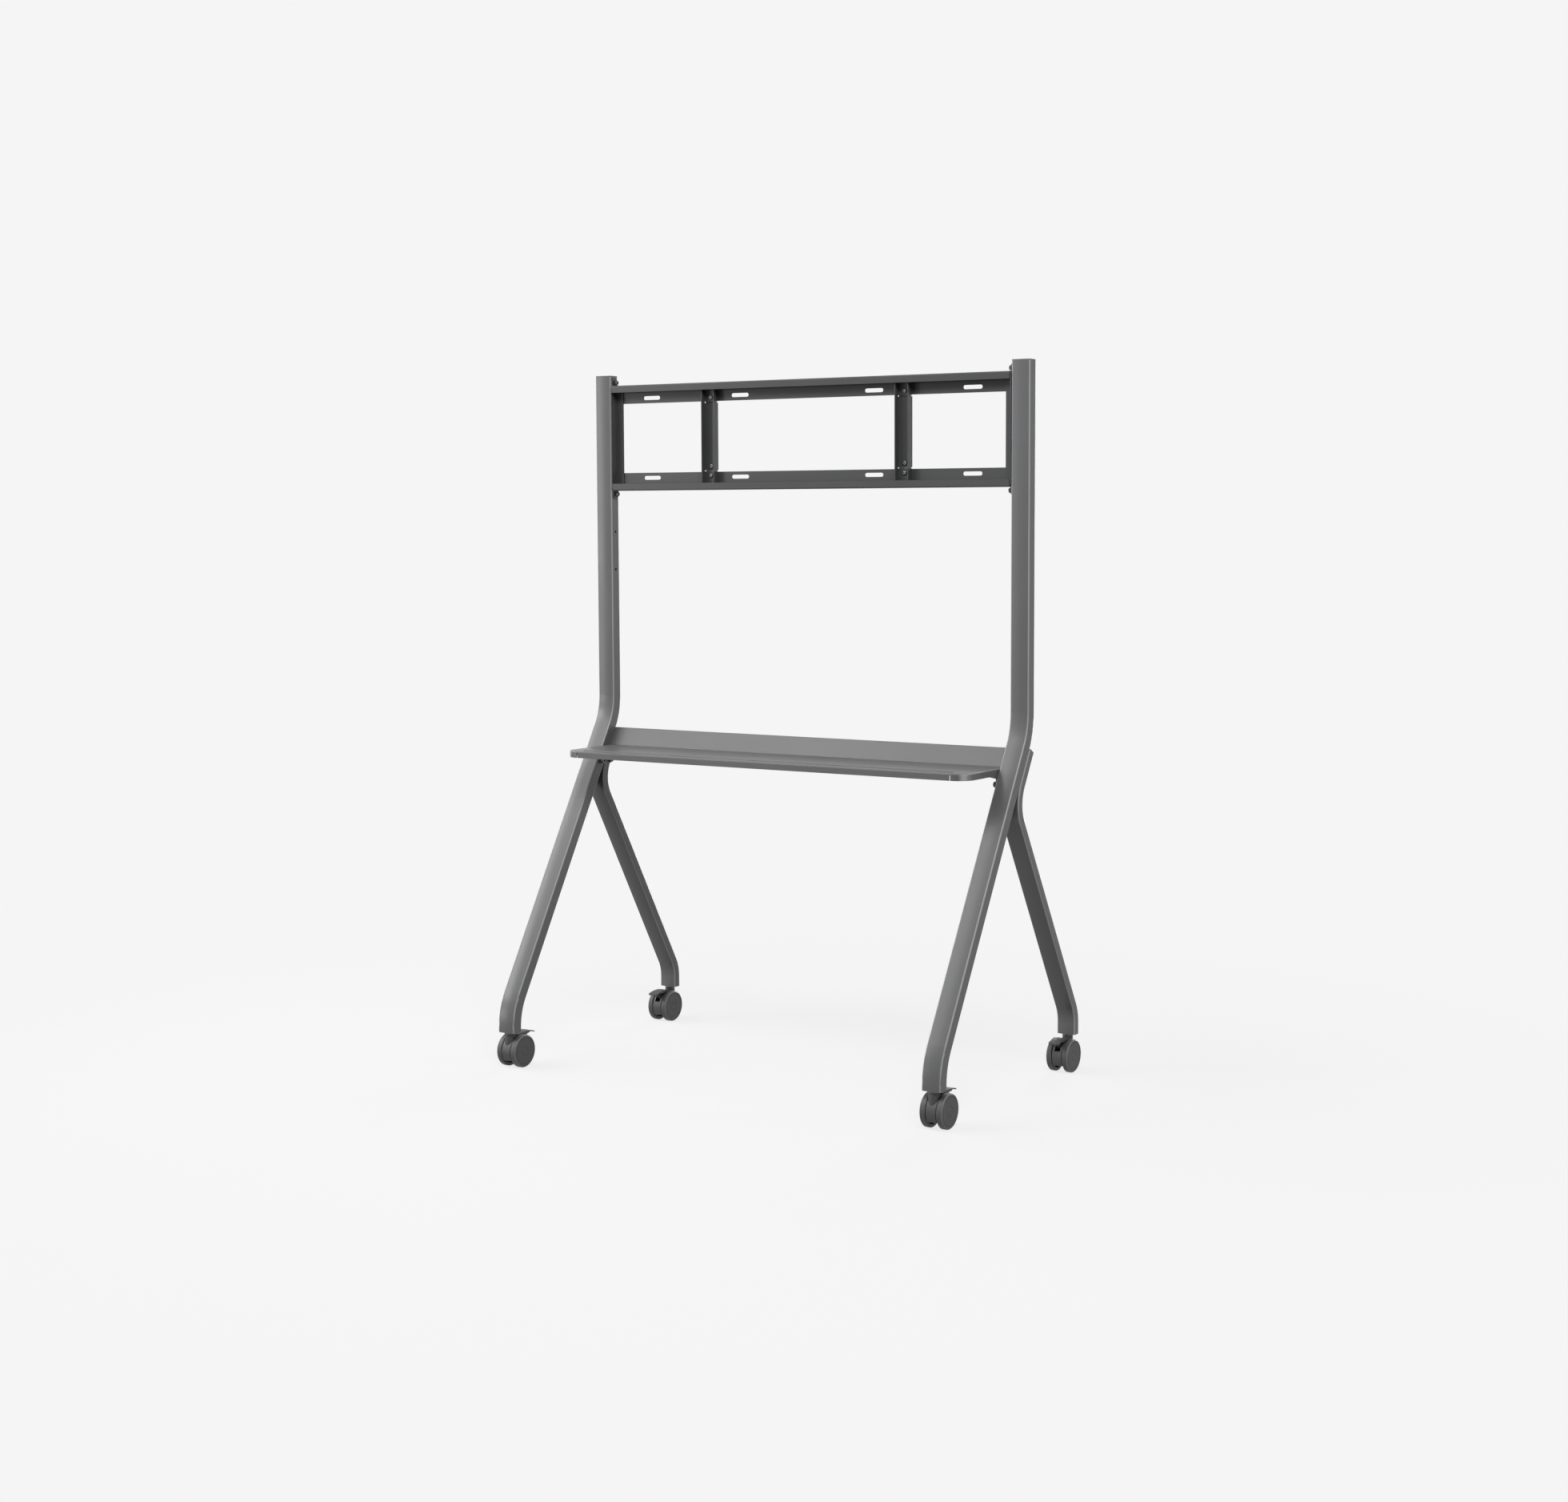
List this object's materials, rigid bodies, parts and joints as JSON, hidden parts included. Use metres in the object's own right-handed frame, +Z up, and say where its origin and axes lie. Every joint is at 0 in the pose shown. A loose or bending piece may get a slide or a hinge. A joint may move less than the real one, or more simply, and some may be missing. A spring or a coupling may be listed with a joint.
{
  "type": "mobile screen stand",
  "caption": "Mobile stand for a large flat screen: two bent steel legs a side on braked twin-wheel casters, slotted rails for the screen, and a shelf.",
  "frame": {"origin": "middle of the footprint, on the floor", "axes": "+Z up, +X to the right, and the screen side faces -Y"},
  "size_m": [1.1604, 0.6556, 1.584],
  "materials": {
    "frame_coating": "fine-textured powder coating in graphite grey",
    "screen_frame_coating": "smooth powder coating in graphite grey, a little darker than the legs",
    "caster_wheel": "moulded nylon with a polyurethane tread, dark grey",
    "caster_body": "moulded nylon, dark grey",
    "caster_pedal": "moulded nylon, dark grey, satin",
    "cap_plastic": "moulded polyethylene, dark grey",
    "black_fastener": "black oxide, slightly oily",
    "zinc_steel": "bright zinc plating"
  },
  "bodies": {
    "frame": {"bracket_bolts": "black_fastener", "front_left_caster_stem": "black_fastener", "front_left_foot_socket": "cap_plastic", "front_right_caster_stem": "black_fastener", "front_right_foot_socket": "cap_plastic", "left_end_bracket": "screen_frame_coating", "left_post": "screen_frame_coating", "left_rear_leg": "frame_coating", "left_rear_leg_cap": "cap_plastic", "left_upright_cap": "cap_plastic", "left_upright_leg": "frame_coating", "lower_rail": "screen_frame_coating", "post_bolts": "black_fastener", "post_nuts": "black_fastener", "rear_left_caster_stem": "black_fastener", "rear_left_foot_socket": "cap_plastic", "rear_leg_bolts": "black_fastener", "rear_right_caster_stem": "black_fastener", "rear_right_foot_socket": "cap_plastic", "right_end_bracket": "screen_frame_coating", "right_post": "screen_frame_coating", "right_rear_leg": "frame_coating", "right_rear_leg_cap": "cap_plastic", "right_upright_cap": "cap_plastic", "right_upright_leg": "frame_coating", "shelf_bolts": "black_fastener", "shelf_tray": "frame_coating", "upper_rail": "screen_frame_coating"},
    "front_left_caster": {"front_left_caster_body": "caster_body", "front_left_caster_axle": "zinc_steel", "front_left_caster_pedal_pin": "zinc_steel"},
    "front_left_caster_left_wheel": {"front_left_caster_left_wheel": "caster_wheel"},
    "front_left_caster_right_wheel": {"front_left_caster_right_wheel": "caster_wheel"},
    "front_left_caster_brake": {"front_left_caster_brake_pedal": "caster_pedal"},
    "front_right_caster": {"front_right_caster_body": "caster_body", "front_right_caster_axle": "zinc_steel", "front_right_caster_pedal_pin": "zinc_steel"},
    "front_right_caster_left_wheel": {"front_right_caster_left_wheel": "caster_wheel"},
    "front_right_caster_right_wheel": {"front_right_caster_right_wheel": "caster_wheel"},
    "front_right_caster_brake": {"front_right_caster_brake_pedal": "caster_pedal"},
    "rear_left_caster": {"rear_left_caster_body": "caster_body", "rear_left_caster_axle": "zinc_steel", "rear_left_caster_pedal_pin": "zinc_steel"},
    "rear_left_caster_left_wheel": {"rear_left_caster_left_wheel": "caster_wheel"},
    "rear_left_caster_right_wheel": {"rear_left_caster_right_wheel": "caster_wheel"},
    "rear_left_caster_brake": {"rear_left_caster_brake_pedal": "caster_pedal"},
    "rear_right_caster": {"rear_right_caster_body": "caster_body", "rear_right_caster_axle": "zinc_steel", "rear_right_caster_pedal_pin": "zinc_steel"},
    "rear_right_caster_left_wheel": {"rear_right_caster_left_wheel": "caster_wheel"},
    "rear_right_caster_right_wheel": {"rear_right_caster_right_wheel": "caster_wheel"},
    "rear_right_caster_brake": {"rear_right_caster_brake_pedal": "caster_pedal"}
  },
  "joints": [
    {"name": "front_left_caster_swivel", "type": "hinge", "parent": "frame", "child": "front_left_caster", "pos_m": [-0.5535, -0.3113, 0.06], "axis": [0, 0, 1], "continuous": true},
    {"name": "front_left_caster_left_wheel_spin", "type": "hinge", "parent": "front_left_caster", "child": "front_left_caster_left_wheel", "pos_m": [-0.5535, -0.2903, 0.0375], "axis": [1, 0, 0], "continuous": true},
    {"name": "front_left_caster_right_wheel_spin", "type": "hinge", "parent": "front_left_caster", "child": "front_left_caster_right_wheel", "pos_m": [-0.5535, -0.2903, 0.0375], "axis": [1, 0, 0], "continuous": true},
    {"name": "front_left_caster_brake_press", "type": "hinge", "parent": "front_left_caster", "child": "front_left_caster_brake", "pos_m": [-0.5535, -0.2763, 0.059], "axis": [-1, 0, 0], "range_deg": [0, 10]},
    {"name": "front_right_caster_swivel", "type": "hinge", "parent": "frame", "child": "front_right_caster", "pos_m": [0.5535, -0.3113, 0.06], "axis": [0, 0, 1], "continuous": true},
    {"name": "front_right_caster_left_wheel_spin", "type": "hinge", "parent": "front_right_caster", "child": "front_right_caster_left_wheel", "pos_m": [0.5535, -0.2903, 0.0375], "axis": [1, 0, 0], "continuous": true},
    {"name": "front_right_caster_right_wheel_spin", "type": "hinge", "parent": "front_right_caster", "child": "front_right_caster_right_wheel", "pos_m": [0.5535, -0.2903, 0.0375], "axis": [1, 0, 0], "continuous": true},
    {"name": "front_right_caster_brake_press", "type": "hinge", "parent": "front_right_caster", "child": "front_right_caster_brake", "pos_m": [0.5535, -0.2763, 0.059], "axis": [-1, 0, 0], "range_deg": [0, 10]},
    {"name": "rear_left_caster_swivel", "type": "hinge", "parent": "frame", "child": "rear_left_caster", "pos_m": [-0.5535, 0.3113, 0.06], "axis": [0, 0, 1], "continuous": true},
    {"name": "rear_left_caster_left_wheel_spin", "type": "hinge", "parent": "rear_left_caster", "child": "rear_left_caster_left_wheel", "pos_m": [-0.5535, 0.2903, 0.0375], "axis": [1, 0, 0], "continuous": true},
    {"name": "rear_left_caster_right_wheel_spin", "type": "hinge", "parent": "rear_left_caster", "child": "rear_left_caster_right_wheel", "pos_m": [-0.5535, 0.2903, 0.0375], "axis": [1, 0, 0], "continuous": true},
    {"name": "rear_left_caster_brake_press", "type": "hinge", "parent": "rear_left_caster", "child": "rear_left_caster_brake", "pos_m": [-0.5535, 0.2763, 0.059], "axis": [1, 0, 0], "range_deg": [0, 10]},
    {"name": "rear_right_caster_swivel", "type": "hinge", "parent": "frame", "child": "rear_right_caster", "pos_m": [0.5535, 0.3113, 0.06], "axis": [0, 0, 1], "continuous": true},
    {"name": "rear_right_caster_left_wheel_spin", "type": "hinge", "parent": "rear_right_caster", "child": "rear_right_caster_left_wheel", "pos_m": [0.5535, 0.2903, 0.0375], "axis": [1, 0, 0], "continuous": true},
    {"name": "rear_right_caster_right_wheel_spin", "type": "hinge", "parent": "rear_right_caster", "child": "rear_right_caster_right_wheel", "pos_m": [0.5535, 0.2903, 0.0375], "axis": [1, 0, 0], "continuous": true},
    {"name": "rear_right_caster_brake_press", "type": "hinge", "parent": "rear_right_caster", "child": "rear_right_caster_brake", "pos_m": [0.5535, 0.2763, 0.059], "axis": [1, 0, 0], "range_deg": [0, 10]}
  ]
}
